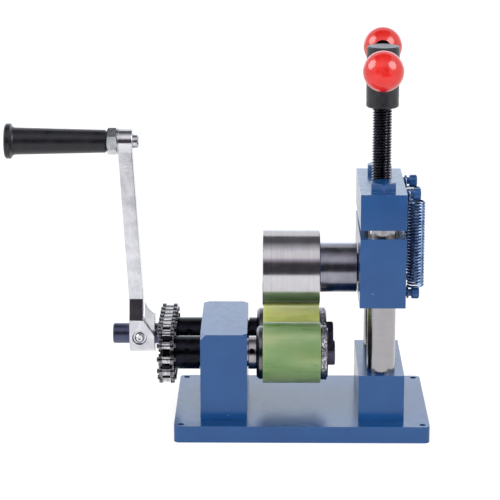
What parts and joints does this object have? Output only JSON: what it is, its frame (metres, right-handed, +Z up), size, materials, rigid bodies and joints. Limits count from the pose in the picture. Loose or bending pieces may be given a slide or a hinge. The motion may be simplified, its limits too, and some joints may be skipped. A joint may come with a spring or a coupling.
{
  "type": "three-roller bench mill",
  "caption": "Hand cranked bench mill: chain-driven covered lower rollers under a steel upper roller in a press head that a cross-bar screw moves along guide columns.",
  "frame": {"origin": "centre of the base plate's underside", "axes": "+X along the shafts away from the crank, -Y the front, +Z up"},
  "size_m": [0.3033, 0.1384, 0.2773],
  "materials": {
    "blue_paint": "semi-gloss sprayed enamel",
    "column_steel": "ground and polished",
    "roller_steel": "turned",
    "shaft_steel": "turned, dark",
    "black_steel": "black oxide",
    "bearing_steel": "ground",
    "chain_steel": "oiled, bright rollers",
    "spring_steel": "drawn wire under blue paint",
    "green_cover": "cast polyurethane, translucent",
    "chrome": "plated casting",
    "zinc": "zinc plated",
    "bronze": "sintered bronze",
    "red_knob": "moulded phenolic",
    "black_grip": "moulded, satin"
  },
  "bodies": {
    "frame": {"base_plate": "blue_paint", "bearing_post": "blue_paint", "column_foot": "blue_paint", "front_column": "column_steel", "rear_column": "column_steel", "top_block": "blue_paint", "column_bolts": "blue_paint", "column_screws": "black_steel", "base_screws": "black_steel", "upper_spring_screws": "blue_paint", "post_bearing_outers": "bearing_steel", "post_bearing_balls": "bearing_steel", "post_bearing_shields": "bearing_steel", "chain_inner_plates": "chain_steel", "chain_bushes": "chain_steel", "chain_rollers": "chain_steel", "chain_pins": "chain_steel", "chain_outer_plates": "chain_steel", "chain_clip": "chain_steel", "front_spring": "spring_steel", "rear_spring": "spring_steel"},
    "rear_shaft": {"rear_shaft": "shaft_steel", "rear_sprocket": "black_steel", "rear_set_screws": "black_steel", "rear_collar": "shaft_steel", "rear_bearing_inners": "bearing_steel", "rear_key": "shaft_steel", "rear_roller_core": "shaft_steel", "rear_roller_tyre": "green_cover", "rear_end_bolt": "black_steel", "crank_arm": "chrome", "crank_screw": "chrome", "grip_bolt": "black_steel", "grip_nut": "zinc"},
    "grip": {"crank_grip": "black_grip"},
    "front_shaft": {"front_shaft": "shaft_steel", "front_sprocket": "black_steel", "front_set_screws": "black_steel", "front_collar": "shaft_steel", "front_bearing_inners": "bearing_steel", "front_key": "shaft_steel", "front_roller_core": "shaft_steel", "front_roller_tyre": "green_cover", "front_end_bolt": "black_steel"},
    "press_head": {"press_block": "blue_paint", "column_bushes": "bronze", "lower_spring_screws": "blue_paint", "head_bearing_outers": "bearing_steel", "head_bearing_balls": "bearing_steel", "head_bearing_shields": "bearing_steel", "thrust_pad": "shaft_steel"},
    "upper_roller": {"upper_roller": "roller_steel", "upper_shaft": "shaft_steel", "upper_key": "shaft_steel", "head_bearing_inners": "bearing_steel", "upper_end_screws": "black_steel"},
    "screw": {"pressure_screw": "black_steel", "screw_hub": "black_steel", "cross_bar": "black_steel", "ball_knobs": "red_knob"}
  },
  "joints": [
    {"name": "crank_turn", "type": "hinge", "parent": "frame", "child": "rear_shaft", "pos_m": [-0.12, 0.02381, 0.0555], "axis": [1, 0, 0], "continuous": true, "deforming": ["chain_inner_plates", "chain_bushes", "chain_rollers", "chain_pins", "chain_outer_plates", "chain_clip"]},
    {"name": "front_shaft_turn", "type": "hinge", "parent": "frame", "child": "front_shaft", "pos_m": [-0.05, -0.02381, 0.0555], "axis": [1, 0, 0], "continuous": true, "deforming": ["chain_inner_plates", "chain_bushes", "chain_rollers", "chain_pins", "chain_outer_plates", "chain_clip"]},
    {"name": "grip_spin", "type": "hinge", "parent": "rear_shaft", "child": "grip", "pos_m": [-0.17, 0.02381, 0.199], "axis": [1, 0, 0], "continuous": true},
    {"name": "head_slide", "type": "slide", "parent": "frame", "child": "press_head", "axis": [0, 0, 1], "range_m": [-0.013, 0.006], "deforming": ["front_spring", "rear_spring"]},
    {"name": "upper_roller_turn", "type": "hinge", "parent": "press_head", "child": "upper_roller", "pos_m": [0, 0, 0.1122], "axis": [1, 0, 0], "continuous": true},
    {"name": "screw_turn", "type": "hinge", "parent": "press_head", "child": "screw", "pos_m": [0.0562, 0, 0.2], "axis": [0, 0, 1], "range_deg": [-2340, 1080]}
  ],
  "couplings": [
    {"joint": "front_shaft_turn", "follows": "crank_turn", "ratio": 1},
    {"joint": "head_slide", "follows": "screw_turn", "m_per_rad": 0.00031831}
  ]
}
